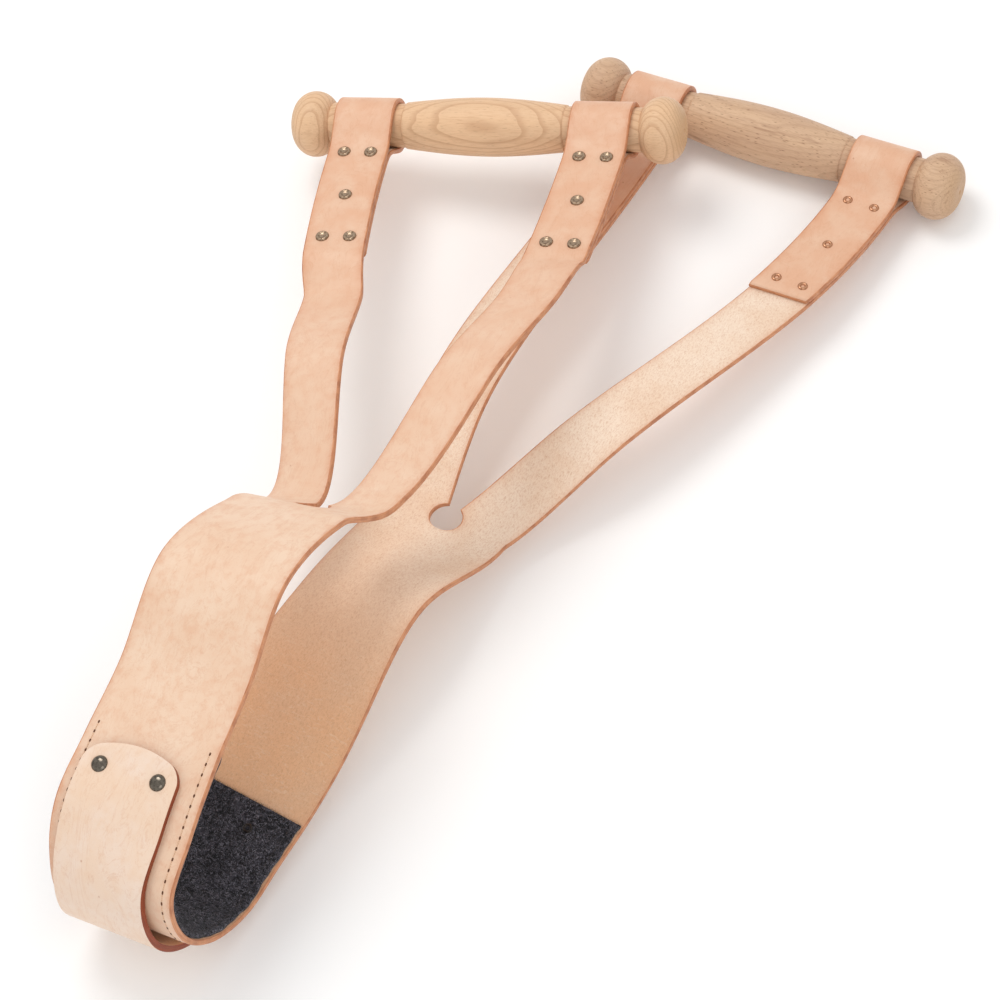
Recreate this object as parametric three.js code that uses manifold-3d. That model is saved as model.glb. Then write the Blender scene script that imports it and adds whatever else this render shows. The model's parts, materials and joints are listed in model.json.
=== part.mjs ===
// Two-handled leather carrying sling, lying on its back layer.
// Millimetres, +Z up. The fold of the cradle is at -Y and the two handles are at +Y.
//
// Every leather piece is first described as if it lay flat on a bench, in pattern coordinates:
//   x  across the band, to the right when looking from the fold to the handles
//   y  along the band, 0 at its middle, positive towards the front handle
//   z  out of the band's smooth side, 0 at half the band's thickness
// and is then bent onto the route that the band takes in space.
import * as THREE from 'three';
import { mergeVertices } from 'three/addons/utils/BufferGeometryUtils.js';
import Module from 'manifold-3d';

const wasm = await Module();
wasm.setup();
const { clamp, lerp, degToRad } = THREE.MathUtils;

// ---- Driving dimensions ----

const LEATHER = 3.5;             // thickness of the band and its straps
const GAP = 0.3;                 // clearance left between pieces that touch
const BAND_WIDTH = 86;
const STRAP_WIDTH = 40;          // at the handle; half the band's width where it leaves the band
const CROTCH = 328;              // from the band's middle to the hole that ends the slit
const CROTCH_HOLE_RADIUS = 10;
const SLIT = 2;                  // width of the slit where it leaves the hole
const HINGE = 152;               // from the band's middle to the line where the front layer swings open
const DOUBLED = 126;             // length of strap lying double, measured back from the handle's axis
const RETURNED = 122;            // the returned ply is cut off this far back from the handle's axis
const STRAP_SPREAD = 79;         // from the centre line to the middle of each strap, at the handle
const STRAP_BOW = 1;             // how much the straps bow outwards on the way
const FRONT_SHIFT = -5;          // the straps lead a little to one side on their way to the handle
const BACK_SHIFT = 55;

const HANDLE_LENGTH = 262;
const GRIP_RADIUS = 19;          // middle of the grip
const SHOULDER_RADIUS = 15.2;    // where the grip meets a strap
const NECK_RADIUS = 14.3;        // under a strap
const NECK_CLEARANCE = 0.4;      // between a neck and the strap round it
const KNOB_RADIUS = 21.5;
const KNOB_LENGTH = 26;
const KNOB_FLAT_RADIUS = 7;      // the flat turned on the end of each knob
const HANDLE_DROP = 5;           // the handle's axis lies this far inside the outer ply

const FELT = 3;
const FELT_AT = 17;              // its middle, from the band's middle towards the front handle
const FELT_END = 123;            // from its own middle
const FELT_INSET = 1.5;          // from the band's edge
const PATCH = 4;
const PATCH_AT = 9;              // its middle, from the band's middle towards the front handle
const PATCH_END = 115;           // from its own middle, as are the next sizes along it
const PATCH_ARCH = 8;            // how far the middle of its end stands beyond the corners
const PATCH_SHIFT = -4;          // the patch sits a little off the centre line
const PATCH_HALF_WIDTH = 31;
const PATCH_CORNER = 8;
const PATCH_STRAIGHT = 82;       // its sides are straight up to here
const PATCH_STANDOFF = 5;        // how far it stands off the band under the fold
const STANDOFF_END = 80;         // from the fold to where it lies on the band again
const PATCH_RIVET_AT = 99;
const PATCH_RIVET_SPACING = 38;
const STITCH_INSET = 6;          // from the band's edge to a row of stitches
const STITCH_END = 119;          // from the felt's middle
const THREAD = 0.8;
const BEND_STEP = 9;             // between the bends of the bent pieces
const SHORTEST_BEND = 0.2;       // of a step, where a piece ends
const LANES = 4;                 // facets across the band
const PATCH_LANES = 8;

// Rivets: cap and clench are radii; the bore is the open end of the hollow shank.
const STRAP_RIVET = { cap: 4, dome: 1.8, shank: 1.6, clench: 2.9, lip: 0.9, bore: 1.1, depth: 2.5 };
const PATCH_RIVET = { cap: 5, dome: 2.4, shank: 1.8, clench: 3.4, lip: 0.9, bore: 1.2, depth: 2.5 };
const RIVET_ROWS = [             // [back from the handle's axis, outwards from the strap's middle]
  [33, -9], [33, 9], [73, 0], [111, -9], [111, 9],
];

// ---- The route of the band's middle line ----

// `yaw` turns the line across the band about the vertical, and `lean` then lifts its right end.
const ROUTE = [
  { at: [18, 540, 20], yaw: 3, lean: 0 },
  { at: [25, 410, 32], yaw: 0, lean: 0 },
  { at: [22, 325, 14], yaw: -3, lean: -1 },
  { at: [13, 243, 36], yaw: -4, lean: 14 },
  { at: [10, 138, 21], yaw: -2, lean: -9 },
  { at: [7, 84, 7], yaw: -3, lean: 2 },
  { at: [5, 49, 4], yaw: -3, lean: 2 },
  { at: [3, 19, 16], yaw: -1, lean: 6 },
  { at: [0, 1, 42], yaw: 2, lean: 8 },
  { at: [-4, 7, 72], yaw: 1, lean: 10 },
  { at: [-8, 34, 93], yaw: 7, lean: 3 },
  { at: [-12, 72, 104], yaw: 6, lean: 7 },
  { at: [-17, 119, 112], yaw: 7, lean: 10 },
  { at: [-25, 182, 130], yaw: 2, lean: 10 },
  { at: [-24, 240, 107], yaw: -4, lean: 20 },
  { at: [-18, 275, 75], yaw: 1, lean: 23 },
  { at: [-30, 368, 90], yaw: 10, lean: 15 },
  { at: [-42, 436, 69], yaw: 14, lean: 13 },
  { at: [-51, 465, 65], yaw: 17, lean: 5 },
];

const middleLine = new THREE.CatmullRomCurve3(ROUTE.map(({ at }) => new THREE.Vector3(...at)));
middleLine.arcLengthDivisions = 600;
const turns = new THREE.CatmullRomCurve3(
  ROUTE.map(({ yaw, lean }) => new THREE.Vector3(
    Math.cos(degToRad(yaw)) * Math.cos(degToRad(lean)),
    Math.sin(degToRad(yaw)) * Math.cos(degToRad(lean)),
    Math.sin(degToRad(lean)),
  )), false, 'catmullrom');

const SINGLE = middleLine.getLength() / 2;   // from the band's middle to where the straps lie double
const HANDLE_AT = SINGLE + DOUBLED;          // from the band's middle to a handle's axis

// Place and directions (across, along, outwards) at `y` along the band. The doubled ends are straight.
const frames = new Map();
function frameAt(y) {
  if (!frames.has(y)) {
    const reach = clamp(y, -SINGLE, SINGLE);
    const t = middleLine.getUtoTmapping((reach + SINGLE) / (2 * SINGLE));
    const along = middleLine.getTangent(t);
    const across = turns.getPoint(t);
    across.addScaledVector(along, -across.dot(along)).normalize();
    const outwards = across.clone().cross(along);
    const at = middleLine.getPoint(t).addScaledVector(along, y - reach);
    frames.set(y, new THREE.Matrix4().makeBasis(across, along, outwards).setPosition(at));
  }
  return frames.get(y);
}

// The frame at a point of the pattern, for a rigid piece that sits there.
function frameOn(x, y, z = 0) {
  return frameAt(y).clone().multiply(new THREE.Matrix4().makeTranslation(x, 0, z));
}

// ---- Tools for solids ----

function toSolid(geometry) {
  const bare = geometry.clone();
  bare.deleteAttribute('normal');
  bare.deleteAttribute('uv');
  const merged = mergeVertices(bare);
  return new wasm.Manifold(new wasm.Mesh({
    numProp: 3,
    vertProperties: new Float32Array(merged.attributes.position.array),
    triVerts: new Uint32Array(merged.index.array),
  }));
}

function toGeometry(solid) {
  const mesh = solid.getMesh();
  const geometry = new THREE.BufferGeometry();
  geometry.setAttribute('position', new THREE.BufferAttribute(mesh.vertProperties, 3));
  geometry.setIndex(new THREE.BufferAttribute(mesh.triVerts, 1));
  geometry.computeVertexNormals();
  return geometry;
}

// Moves each vertex through `place`, which takes and returns [x, y, z].
function reshape(geometry, place) {
  const position = geometry.attributes.position;
  for (let i = 0; i < position.count; i++) {
    position.setXYZ(i, ...place(position.getX(i), position.getY(i), position.getZ(i)));
  }
  return geometry;
}

// Bends a piece from pattern coordinates onto the route.
function bend(geometry) {
  const point = new THREE.Vector3();
  return reshape(geometry, (x, y, z) => point.set(x, 0, z).applyMatrix4(frameAt(y)).toArray());
}

// Where a bent sheet has its bends: the same places in every layer, so that the layers nest.
function bendRows(from, to) {
  const rows = [from];
  const first = Math.ceil(from / BEND_STEP + SHORTEST_BEND);
  for (let i = first; i + SHORTEST_BEND < to / BEND_STEP; i++) {
    rows.push(i * BEND_STEP);
  }
  return [...rows, to];
}

// A closed bent sheet. `place` takes a fraction across, a row and a fraction through the thickness, and
// returns pattern coordinates.
function sheet(lanes, from, to, place) {
  const rows = bendRows(from, to);
  const steps = rows.length - 1;
  const flat = new THREE.BoxGeometry(1, 1, 1, lanes, steps, 1);
  return bend(reshape(flat, (a, b, c) => place(a + 0.5, rows[Math.round((b + 0.5) * steps)], c + 0.5)));
}

function lathe(points, segments) {
  return new THREE.LatheGeometry(points.map(([radius, height]) => new THREE.Vector2(radius, height)), segments);
}

const COLOURS = {
  leather: new THREE.MeshStandardMaterial({ color: 0xe8c2a0, roughness: 0.6 }),
  felt: new THREE.MeshStandardMaterial({ color: 0x3a3a40, roughness: 1 }),
  beech: new THREE.MeshStandardMaterial({ color: 0xd8b98a, roughness: 0.55 }),
  bronze: new THREE.MeshStandardMaterial({ color: 0x6f6455, roughness: 0.35, metalness: 1 }),
  nickel: new THREE.MeshStandardMaterial({ color: 0xb5b0a8, roughness: 0.2, metalness: 1 }),
  thread: new THREE.MeshStandardMaterial({ color: 0x8a5a38, roughness: 0.8 }),
};

// ---- The band's outline ----

// 0 at the crotch and 1 at the handle's axis, rising fastest at the crotch.
function spread(y) {
  const k = Math.max(0, (Math.abs(y) - CROTCH) / (HANDLE_AT - CROTCH));
  return k + STRAP_BOW * k * (1 - k);
}

function sideShift(y) {
  return (y > 0 ? FRONT_SHIFT : BACK_SHIFT) * spread(y) ** 2;
}

// x of a strap's inner edge (fraction 0), middle (0.5) or outer edge (1). `side` is -1 left, 1 right.
function strapX(y, side, fraction) {
  const atBand = lerp(SLIT / 2, BAND_WIDTH / 2, fraction);
  const atHandle = STRAP_SPREAD + STRAP_WIDTH * (fraction - 0.5);
  return side * lerp(atBand, atHandle, spread(y)) + sideShift(y);
}

// ---- The leather band ----

// Angle, about a circle's centre, at which a line from `point` touches the circle.
function touchAngle(point, centre, radius, turn) {
  const offset = point.clone().sub(centre);
  return offset.angle() + turn * Math.acos(radius / offset.length());
}

const LOOP_OPENS = 27;           // back from the handle's axis to where the two plies part
const LOOP_RADIUS = NECK_RADIUS + NECK_CLEARANCE;
const LOOP_STEPS = 10;
const RETURN_DROP = LEATHER + GAP;   // from the outer ply down to the returned one

// Side view of the loop round a neck and of the returned ply, seen along the handle: u towards the handle,
// v outwards. `faceOut` is half a thickness, positive for the smooth side and negative for the flesh side.
function loopLine(faceOut) {
  const centre = new THREE.Vector2(0, -HANDLE_DROP);
  const radius = LOOP_RADIUS + LEATHER / 2 + faceOut;
  const upper = new THREE.Vector2(-LOOP_OPENS, faceOut);
  const lower = new THREE.Vector2(-LOOP_OPENS, -RETURN_DROP - faceOut);
  const start = touchAngle(upper, centre, radius, -1);
  const end = touchAngle(lower, centre, radius, 1) - 2 * Math.PI;
  const round = new THREE.Path().absarc(centre.x, centre.y, radius, start, end, true).getPoints(LOOP_STEPS);
  return [upper, ...round, lower, new THREE.Vector2(-RETURNED, lower.y)];
}

// One face of a strap as a line of [y, z], from `near` on the band to the cut end of its returned ply.
function strapLine(near, faceOut) {
  return [
    ...bendRows(near, SINGLE).map((y) => [y, faceOut]),
    ...loopLine(faceOut).map(({ x: u, y: v }) => [HANDLE_AT + u, v]),
  ];
}

// The leather from `near` on the band to the loops at one end, before it is split into two straps.
function unsplitLeather(end, near) {
  const faces = [strapLine(near, -LEATHER / 2), strapLine(near, LEATHER / 2)];
  const steps = faces[0].length - 1;
  const flat = new THREE.BoxGeometry(1, 1, 1, LANES, steps, 1);
  return bend(reshape(flat, (a, b, c) => {
    const [y, z] = faces[Math.round(c + 0.5)][Math.round((b + 0.5) * steps)];
    return [lerp(strapX(end * y, -end, 1), strapX(end * y, end, 1), a + 0.5), end * y, z];
  }));
}

// The slit is cut this deep through the single band, and this deep through the loops and the returned ply.
const BAND_CUT = [-2 * LEATHER, 2 * LEATHER];
const LOOP_CUT = [-3 * LOOP_RADIUS, 2 * LOOP_RADIUS];

// What is cut away between the two straps: a slit at the crotch that widens towards the handle.
function slit(end) {
  const rows = bendRows(CROTCH, HANDLE_AT + 2 * LOOP_RADIUS);
  const steps = rows.length - 1;
  const flat = new THREE.BoxGeometry(1, 1, 1, 1, steps, 1);
  return bend(reshape(flat, (a, b, c) => {
    const y = rows[Math.round((b + 0.5) * steps)];
    const [low, high] = y > SINGLE ? LOOP_CUT : BAND_CUT;
    const x = lerp(strapX(end * y, -end, 0), strapX(end * y, end, 0), a + 0.5);
    return [x, end * y, lerp(low, high, c + 0.5)];
  }));
}

// Pattern coordinates of a point on a strap, given back from the handle and outwards from the middle.
// The straps run askew to the handle, so a row square to the strap is askew to it too.
function onStrap(end, side, back, outwards) {
  const y = HANDLE_AT - back;
  const slope = (strapX(HANDLE_AT, 1, 0.5) - strapX(y, 1, 0.5)) / back;
  return [strapX(end * y, side, 0.5) + side * outwards, end * (y - slope * outwards)];
}

// A straight hole through whatever lies at a point of the pattern.
function drill(x, y, radius, sides) {
  const bit = new THREE.CylinderGeometry(radius, radius, DRILL_LENGTH, sides).rotateX(Math.PI / 2);
  return toSolid(bit.applyMatrix4(frameOn(x, y)));
}

const HOLE_CLEARANCE = 0.35;     // of a rivet's shank in the leather
const HOLE_SIDES = 8;
const CROTCH_HOLE_SIDES = 24;
const DRILL_LENGTH = 30;

function patchRivetPlaces(end) {
  const y = PATCH_AT + end * PATCH_RIVET_AT;
  return [-1, 1].map((side) => [PATCH_SHIFT + side * PATCH_RIVET_SPACING / 2, y]);
}

// The leather from `near` on the band to the handle at one end.
function bandLeather(end, near) {
  let leather = toSolid(unsplitLeather(end, near)).subtract(toSolid(slit(end)));
  for (const side of [-1, 1]) {
    for (const [back, outwards] of RIVET_ROWS) {
      const [x, y] = onStrap(end, side, back, outwards);
      leather = leather.subtract(drill(x, y, STRAP_RIVET.shank + HOLE_CLEARANCE, HOLE_SIDES));
    }
  }
  return leather.subtract(drill(0, end * CROTCH, CROTCH_HOLE_RADIUS, CROTCH_HOLE_SIDES));
}

function drillPatchHoles(solid) {
  const radius = PATCH_RIVET.shank + HOLE_CLEARANCE;
  return [...patchRivetPlaces(-1), ...patchRivetPlaces(1)].reduce(
    (left, [x, y]) => left.subtract(drill(x, y, radius, HOLE_SIDES)),
    solid);
}

// ---- The lining, the wear patch and the stitches ----

const OUTER_FACE = LEATHER / 2 + GAP;        // z of what lies on the smooth side
const INNER_FACE = -OUTER_FACE;              // z of what lies on the flesh side

function feltPad() {
  const half = BAND_WIDTH / 2 - FELT_INSET;
  return drillPatchHoles(toSolid(sheet(LANES, FELT_AT - FELT_END, FELT_AT + FELT_END, (a, y, c) => [
    lerp(-half, half, a), y, INNER_FACE - FELT * (1 - c),
  ])));
}

// Half the patch's length at `x` from its own middle: a gentle arch with round corners.
function patchReach(x) {
  const arch = PATCH_ARCH * (x / PATCH_HALF_WIDTH) ** 2;
  const intoCorner = clamp(Math.abs(x) - (PATCH_HALF_WIDTH - PATCH_CORNER), 0, PATCH_CORNER);
  return PATCH_END - arch - (PATCH_CORNER - Math.sqrt(PATCH_CORNER ** 2 - intoCorner ** 2));
}

// How far the patch stands off the band: nothing where it is riveted, most under the fold.
function patchStandoff(y) {
  const fromMiddle = clamp(Math.abs(y) / STANDOFF_END, 0, 1);
  return PATCH_STANDOFF * Math.cos(fromMiddle * Math.PI / 2) ** 2;
}

function wearPatch() {
  return drillPatchHoles(toSolid(sheet(PATCH_LANES, -PATCH_END, PATCH_END, (a, row, c) => {
    const x = PATCH_HALF_WIDTH * Math.sin((a - 0.5) * Math.PI);
    const beyond = Math.max(0, Math.abs(row) - PATCH_STRAIGHT) / (PATCH_END - PATCH_STRAIGHT);
    const reach = lerp(Math.min(Math.abs(row), PATCH_STRAIGHT), patchReach(x), beyond);
    const y = PATCH_AT + Math.sign(row) * reach;
    return [PATCH_SHIFT + x, y, OUTER_FACE + patchStandoff(y) + PATCH * c];
  })));
}

// One row of stitches, drawn as the line of thread that lies on the smooth side.
function stitchRow(side) {
  const middle = side * (BAND_WIDTH / 2 - STITCH_INSET);
  return sheet(1, FELT_AT - STITCH_END, FELT_AT + STITCH_END, (a, y, c) => [
    middle + THREAD * (a - 0.5), y, OUTER_FACE + THREAD * c,
  ]);
}

// ---- Rivets ----

const RIVET_SIDES = 8;
const DOME_STEPS = 2;
const CAP_RIM = 0.25;            // of the cap's height, at its rim
const LIP_EDGE = 0.4;            // of the rolled lip's height, at its rim
const RIVET_SEAT = 0.6;          // clearance under the cap and clench of a patch rivet, where the leather bends

// A domed cap at `top` on a hollow shank that is rolled over at `bottom`, along Z.
function rivet({ cap, dome, shank, clench, lip, bore, depth }, top, bottom) {
  const points = [
    [0, bottom - lip + depth],
    [bore, bottom - lip + depth],
    [bore, bottom - lip],
    [clench, bottom - lip * LIP_EDGE],
    [clench, bottom],
    [shank, bottom],
    [shank, top],
    [cap, top],
  ];
  for (let i = 0; i < DOME_STEPS; i++) {
    const angle = i / DOME_STEPS * Math.PI / 2;
    points.push([cap * Math.cos(angle), top + dome * lerp(CAP_RIM, 1, Math.sin(angle))]);
  }
  points.push([0, top + dome]);
  return lathe(points, RIVET_SIDES).rotateX(Math.PI / 2);
}

// ---- Handles ----

const HANDLE_SIDES = 24;
const GRIP_STEPS = 5;
const KNOB_STEPS = 6;
const KNOB_START = -0.75;        // of a quarter turn round the knob's outline, from its fullest to its foot
const KNOB_FULLEST = 0.45;       // of its length, from its foot
const SHOULDER_STEP = 1;         // length of the slope from the grip down to the neck

// One turned handle along X: knob, neck, swelled grip, neck, knob.
function handle() {
  const half = HANDLE_LENGTH / 2;
  const neckOut = half - KNOB_LENGTH;
  const neckIn = 2 * STRAP_SPREAD - neckOut;
  const side = [];
  for (let i = 0; i <= GRIP_STEPS; i++) {    // half the grip
    const k = i / GRIP_STEPS;
    side.push([lerp(SHOULDER_RADIUS, GRIP_RADIUS, Math.cos(k * Math.PI / 2)), k * neckIn]);
  }
  side.push([NECK_RADIUS, neckIn + SHOULDER_STEP], [NECK_RADIUS, neckOut]);
  for (let i = 1; i <= KNOB_STEPS; i++) {    // knob
    const angle = lerp(KNOB_START, 1, i / KNOB_STEPS) * Math.PI / 2;
    side.push([
      lerp(KNOB_FLAT_RADIUS, KNOB_RADIUS, Math.cos(angle)),
      neckOut + KNOB_LENGTH * lerp(KNOB_FULLEST, 1, Math.sin(angle)),
    ]);
  }
  side.push([0, half]);
  const mirrored = side.slice(1).reverse().map(([radius, height]) => [radius, -height]);
  return lathe([...mirrored, ...side], HANDLE_SIDES).rotateZ(-Math.PI / 2);
}

// ---- The assembly ----

const sling = new THREE.Group();
const cradle = new THREE.Group();            // the cradle with the back layer
const frontLayer = new THREE.Group();        // the front layer, which swings open about its own X axis
frontLayer.applyMatrix4(frameOn(0, HINGE, LEATHER / 2));
sling.add(cradle, frontLayer);

// Adds a named piece to a group. `frame` is where its geometry's own origin and axes lie in the sling.
function place(group, name, geometry, material, frame = new THREE.Matrix4()) {
  const piece = new THREE.Mesh(geometry, COLOURS[material]);
  piece.name = name;
  piece.applyMatrix4(group.matrix.clone().invert().multiply(frame));
  group.add(piece);
}

const backLeather = drillPatchHoles(bandLeather(-1, -(HINGE - GAP / 2)));
place(cradle, 'cradle_and_back_leather', toGeometry(backLeather), 'leather');
place(frontLayer, 'front_leather', toGeometry(bandLeather(1, HINGE + GAP / 2)), 'leather');
place(cradle, 'felt_pad', toGeometry(feltPad()), 'felt');
place(cradle, 'wear_patch', toGeometry(wearPatch()), 'leather');
place(cradle, 'stitch_row_left', stitchRow(-1), 'thread');
place(cradle, 'stitch_row_right', stitchRow(1), 'thread');

const LAYERS = [['front', 1, frontLayer, FRONT_SHIFT], ['back', -1, cradle, BACK_SHIFT]];
const SIDES = [['left', -1], ['right', 1]];

for (const [layer, end, group, shift] of LAYERS) {
  place(group, `${layer}_handle`, handle(), 'beech', frameOn(shift, end * HANDLE_AT, -HANDLE_DROP));
  patchRivetPlaces(end).forEach(([x, y], i) => {
    const geometry = rivet(PATCH_RIVET, OUTER_FACE + PATCH + RIVET_SEAT, INNER_FACE - FELT - RIVET_SEAT);
    place(cradle, `patch_rivet_${layer}_${SIDES[i][0]}`, geometry, 'nickel', frameOn(x, y));
  });
  for (const [sideName, side] of SIDES) {
    RIVET_ROWS.forEach(([back, outwards], i) => {
      const geometry = rivet(STRAP_RIVET, OUTER_FACE, -RETURN_DROP - OUTER_FACE);
      const at = frameOn(...onStrap(end, side, back, outwards));
      place(group, `${layer}_${sideName}_rivet_${i + 1}`, geometry, 'bronze', at);
    });
  }
}

// The origin is on the ground, below the middle of the whole sling.
sling.updateMatrixWorld(true);
const extent = new THREE.Box3().setFromObject(sling, true);
const middle = extent.getCenter(new THREE.Vector3());
sling.position.set(-middle.x, -middle.y, -extent.min.z);

export default sling;
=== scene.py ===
"""Looks of a two-handled leather carrying sling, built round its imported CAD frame.

Blender objects are in metres. The pieces are laid out in millimetres in the pattern of the leather, as if
it lay flat on a bench (x across the band, y along it from its middle, z out of its smooth side), and are
then bent onto the route that the band takes in space.
"""
import json
import math

import bpy
import numpy as np
from mathutils import Matrix, Vector


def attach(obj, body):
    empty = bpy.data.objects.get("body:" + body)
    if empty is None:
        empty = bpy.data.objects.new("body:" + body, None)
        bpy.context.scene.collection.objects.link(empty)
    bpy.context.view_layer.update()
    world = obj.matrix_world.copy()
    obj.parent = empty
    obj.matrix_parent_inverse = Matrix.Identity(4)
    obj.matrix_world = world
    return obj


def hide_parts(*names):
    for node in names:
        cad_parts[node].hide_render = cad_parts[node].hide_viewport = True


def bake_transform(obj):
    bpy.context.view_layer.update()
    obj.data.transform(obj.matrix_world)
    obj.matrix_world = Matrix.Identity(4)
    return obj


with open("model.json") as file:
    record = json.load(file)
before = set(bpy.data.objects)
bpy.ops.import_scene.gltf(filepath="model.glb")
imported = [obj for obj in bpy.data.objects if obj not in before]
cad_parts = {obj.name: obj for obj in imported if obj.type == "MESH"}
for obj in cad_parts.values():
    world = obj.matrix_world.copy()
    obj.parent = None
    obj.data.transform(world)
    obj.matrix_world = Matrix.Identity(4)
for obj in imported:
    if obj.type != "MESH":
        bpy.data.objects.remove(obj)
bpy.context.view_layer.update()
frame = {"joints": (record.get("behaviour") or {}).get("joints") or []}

MM = 0.001                   # in metres
JOINTS = {joint["name"]: joint for joint in frame["joints"]}
SIDES = (("left", -1), ("right", 1))
LAYERS = (("front", 1, "front_layer"), ("back", -1, "cradle"))

# ---- Sizes, in millimetres ----

LEATHER = 3.5
BAND_WIDTH = 86
STRAP_WIDTH = 40
CROTCH = 328                 # from the band's middle to the hole that ends the slit
CROTCH_HOLE_RADIUS = 10
SLIT = 2
HINGE = 152                  # from the band's middle to the line where the front layer swings open
DOUBLED = 126                # length of the upper ply of a strap's doubled end
RETURNED = 122               # length of the ply that comes back under it
STRAP_SPREAD = 79            # from a handle's middle to the middle of each strap
STRAP_BOW = 1                # how early the straps part: 0 is evenly
FRONT_SHIFT = -5             # of a handle's middle, across the band
BACK_SHIFT = 55
HANDLE_LENGTH = 262
GRIP_RADIUS = 19
SHOULDER_RADIUS = 15.2
NECK_RADIUS = 14.3
NECK_CLEARANCE = 0.4
KNOB_RADIUS = 21.5
KNOB_LENGTH = 26
KNOB_FLAT_RADIUS = 7
HANDLE_DROP = 5              # of a handle's axis below the middle of the upper ply
LOOP_OPENS = 27              # where the plies part, back from the handle's axis
PLY_GAP = 0.3
FELT = 3
FELT_AT = 17                 # its middle, from the band's middle towards the front handle
FELT_END = 123               # from its own middle
FELT_INSET = 1.5             # from the band's edge
PATCH = 4
PATCH_AT = 9                 # its middle, from the band's middle towards the front handle
PATCH_END = 115              # from its own middle, and so are the sizes below
PATCH_ARCH = 8               # how far its ends are arched
PATCH_SHIFT = -4             # across the band
PATCH_HALF_WIDTH = 31
PATCH_CORNER = 8
PATCH_STRAIGHT = 82
PATCH_STANDOFF = 5           # how far it stands off the band at the fold
STANDOFF_END = 80
PATCH_AIR = 0.15
PATCH_RIVET_AT = 99
PATCH_RIVET_SPACING = 38
STITCH_INSET = 6
STITCH_END = 119             # from the felt's middle
STITCH_PITCH = 6
FACE_AIR = 0.05              # between the leather and what lies on it
RIVET_ROWS = ((33, -9), (33, 9), (73, 0), (111, -9), (111, 9))   # back from the handle, outwards

ROW_STEP = 3                 # between the rows of a bent piece's mesh
LINE_STEPS = 80              # between two stations of the route
EDGE_ROUND = 0.9             # radius of a leather piece's edges
SEAM_AT = 60                 # where the back and front leather meshes meet, past the fold
BEND_START = 141             # the stretch that bends when the front layer opens; only its ends are found here
BEND_END = 165

# ---- The route of the band's middle line, in millimetres ----

# Each station is (x, y, z, yaw, lean), the last two in degrees. The yaw turns the line across the band
# about the vertical, and the lean then lifts its right end.
ROUTE = [
    (18, 540, 20, 3, 0),
    (25, 410, 32, 0, 0),
    (22, 325, 14, -3, -1),
    (13, 243, 36, -4, 14),
    (10, 138, 21, -2, -9),
    (7, 84, 7, -3, 2),
    (5, 49, 4, -3, 2),
    (3, 19, 16, -1, 6),
    (0, 1, 42, 2, 8),
    (-4, 7, 72, 1, 10),
    (-8, 34, 93, 7, 3),
    (-12, 72, 104, 6, 7),
    (-17, 119, 112, 7, 10),
    (-25, 182, 130, 2, 10),
    (-24, 240, 107, -4, 20),
    (-18, 275, 75, 1, 23),
    (-30, 368, 90, 10, 15),
    (-42, 436, 69, 14, 13),
    (-51, 465, 65, 17, 5),
]


def unit(vectors):
    return vectors / np.linalg.norm(vectors, axis=-1, keepdims=True)


def spline(points, at, centripetal):
    """Catmull-Rom places and slopes at the parameters `at`, which count the points from 0."""
    points = np.asarray(points, float)
    ends = np.vstack([2 * points[0] - points[1], points, 2 * points[-1] - points[-2]])
    first = np.minimum(np.asarray(at, float).astype(int), len(points) - 2)
    part = (at - first)[:, None]
    p0, p1, p2, p3 = (ends[first + i] for i in range(4))
    if centripetal:
        pairs = ((p0, p1), (p1, p2), (p2, p3))
        d0, d1, d2 = (np.sqrt(np.linalg.norm(b - a, axis=1))[:, None] for a, b in pairs)
        leave = ((p1 - p0) / d0 - (p2 - p0) / (d0 + d1) + (p2 - p1) / d1) * d1
        arrive = ((p2 - p1) / d1 - (p3 - p1) / (d1 + d2) + (p3 - p2) / d2) * d1
    else:
        leave, arrive = (p2 - p0) / 2, (p3 - p1) / 2
    square = 3 * (p2 - p1) - 2 * leave - arrive
    cube = 2 * (p1 - p2) + leave + arrive
    place = p1 + part * (leave + part * (square + part * cube))
    slope = leave + part * (2 * square + 3 * part * cube)
    return place, slope


MIDDLE_LINE = [station[:3] for station in ROUTE]
TURNS = [
    (math.cos(yaw) * math.cos(lean), math.sin(yaw) * math.cos(lean), math.sin(lean))
    for yaw, lean in ((math.radians(s[3]), math.radians(s[4])) for s in ROUTE)
]
SAMPLES = np.linspace(0, len(ROUTE) - 1, LINE_STEPS * (len(ROUTE) - 1) + 1)


def travelled(line):
    """Length along a line of points, at each point."""
    return np.concatenate([[0], np.cumsum(np.linalg.norm(np.diff(line, axis=0), axis=1))])


ARC = travelled(spline(MIDDLE_LINE, SAMPLES, True)[0])
SINGLE = ARC[-1] / 2         # from the band's middle to where the straps lie double
HANDLE_AT = SINGLE + DOUBLED


def frames_at(y):
    """The middle line's place, and the directions across, along and outwards, at each `y`."""
    y = np.atleast_1d(np.asarray(y, float))
    reach = np.clip(y, -SINGLE, SINGLE)
    at = np.interp(reach + SINGLE, ARC, SAMPLES)
    place, slope = spline(MIDDLE_LINE, at, True)
    along = unit(slope)
    across = spline(TURNS, at, False)[0]
    across = unit(across - (across * along).sum(1)[:, None] * along)
    outwards = np.cross(across, along)
    return place + along * (y - reach)[:, None], across, along, outwards


def route_point(x, y, z):
    """Places in space, in the route's own millimetres, of points of the pattern."""
    place, across, _, outwards = frames_at(y)
    return place + np.asarray(x, float)[:, None] * across + np.asarray(z, float)[:, None] * outwards


# The frame's own hinge says where the route lies in the CAD model.
SHIFT = np.array(JOINTS["sling_open"]["pos_m"]) / MM - route_point([0], [HINGE], [LEATHER / 2])[0]


def bent(pattern):
    """Points of the pattern, in millimetres, as places in the frame, in metres."""
    pattern = np.asarray(pattern, float)
    return (route_point(pattern[:, 0], pattern[:, 1], pattern[:, 2]) + SHIFT) * MM


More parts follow.
